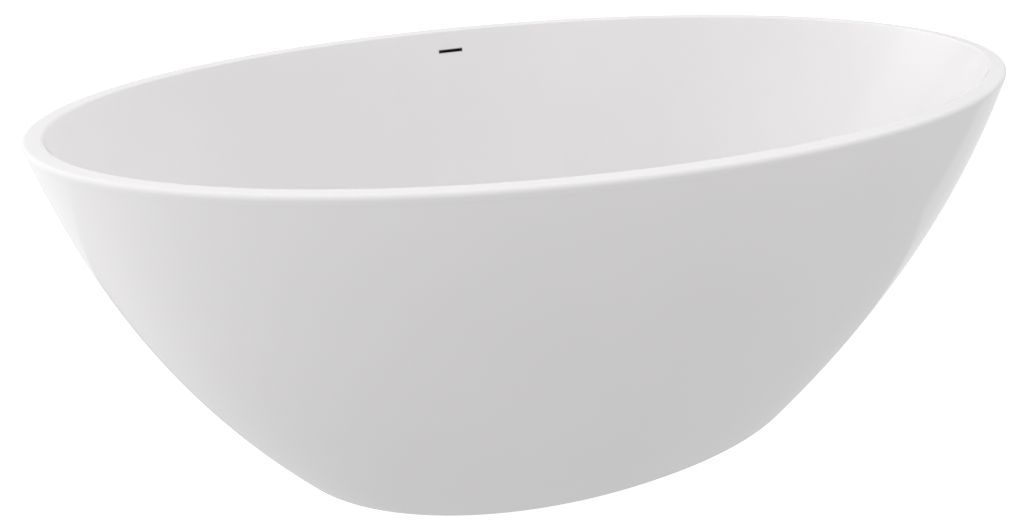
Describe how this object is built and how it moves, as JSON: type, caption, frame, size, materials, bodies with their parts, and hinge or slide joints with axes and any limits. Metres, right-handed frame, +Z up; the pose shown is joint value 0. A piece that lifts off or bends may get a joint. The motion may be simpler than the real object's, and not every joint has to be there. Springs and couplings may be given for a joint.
{
  "type": "freestanding bathtub",
  "caption": "Oval freestanding double-skin bathtub with a slot overflow, a lifting click plug and levelling feet under its skirt.",
  "frame": {"origin": "on the floor under the middle of the tub", "axes": "+X along the tub, +Y towards the side with the overflow slot, +Z up"},
  "size_m": [1.6464, 0.8998, 0.58],
  "materials": {
    "acrylic": "gloss",
    "bonding_resin": "matte",
    "particle_board": "matte",
    "galvanised_steel": "satin",
    "zinc_fasteners": "satin",
    "black_rubber": "matte",
    "foot_plastic": "matte",
    "grey_adhesive": "matte",
    "chrome": "polished",
    "dark_plastic": "satin",
    "grey_hose": "satin"
  },
  "bodies": {
    "tub": {"inner_shell": "acrylic", "outer_shell": "acrylic", "rim_bond_bead": "bonding_resin", "base_board": "particle_board", "frame_rail_front": "galvanised_steel", "frame_rail_back": "galvanised_steel", "frame_cross_left_end": "galvanised_steel", "frame_cross_left_middle": "galvanised_steel", "frame_cross_right_middle": "galvanised_steel", "frame_cross_right_end": "galvanised_steel", "skirt_bracket_front": "galvanised_steel", "skirt_bracket_back": "galvanised_steel", "skirt_bracket_left": "galvanised_steel", "skirt_bracket_right": "galvanised_steel", "board_screw_1": "zinc_fasteners", "board_screw_2": "zinc_fasteners", "board_screw_3": "zinc_fasteners", "board_screw_4": "zinc_fasteners", "board_screw_5": "zinc_fasteners", "board_screw_6": "zinc_fasteners", "board_screw_7": "zinc_fasteners", "board_screw_8": "zinc_fasteners", "foot_frame_nut_1": "zinc_fasteners", "foot_frame_nut_2": "zinc_fasteners", "foot_frame_nut_3": "zinc_fasteners", "foot_frame_nut_4": "zinc_fasteners", "foot_locknut_1": "zinc_fasteners", "foot_locknut_2": "zinc_fasteners", "foot_locknut_3": "zinc_fasteners", "foot_locknut_4": "zinc_fasteners", "hose_clip_top": "zinc_fasteners", "hose_clip_bottom": "zinc_fasteners", "plug_spring": "zinc_fasteners", "waste_gasket": "black_rubber", "waste_washer_upper": "black_rubber", "waste_washer_lower": "black_rubber", "overflow_gasket": "black_rubber", "skirt_pad_front": "grey_adhesive", "skirt_pad_back": "grey_adhesive", "skirt_pad_left": "grey_adhesive", "skirt_pad_right": "grey_adhesive", "waste_flange": "chrome", "overflow_trim": "chrome", "overflow_banjo": "dark_plastic", "waste_backnut": "dark_plastic", "plug_cartridge": "dark_plastic", "overflow_body": "dark_plastic", "overflow_hose": "grey_hose"},
    "foot_1": {"foot_pad_1": "foot_plastic", "foot_stud_1": "zinc_fasteners"},
    "foot_2": {"foot_pad_2": "foot_plastic", "foot_stud_2": "zinc_fasteners"},
    "foot_3": {"foot_pad_3": "foot_plastic", "foot_stud_3": "zinc_fasteners"},
    "foot_4": {"foot_pad_4": "foot_plastic", "foot_stud_4": "zinc_fasteners"},
    "plug": {"plug_cap": "chrome", "plug_seal": "black_rubber", "plug_stem": "zinc_fasteners"}
  },
  "joints": [
    {"name": "foot_1_level", "type": "slide", "parent": "tub", "child": "foot_1", "axis": [0, 0, 1], "range_m": [-0.025, 0]},
    {"name": "foot_2_level", "type": "slide", "parent": "tub", "child": "foot_2", "axis": [0, 0, 1], "range_m": [-0.025, 0]},
    {"name": "foot_3_level", "type": "slide", "parent": "tub", "child": "foot_3", "axis": [0, 0, 1], "range_m": [-0.025, 0]},
    {"name": "foot_4_level", "type": "slide", "parent": "tub", "child": "foot_4", "axis": [0, 0, 1], "range_m": [-0.025, 0]},
    {"name": "plug_lift", "type": "slide", "parent": "tub", "child": "plug", "axis": [0, 0, 1], "range_m": [0, 0.009], "deforming": ["plug_spring"]}
  ]
}
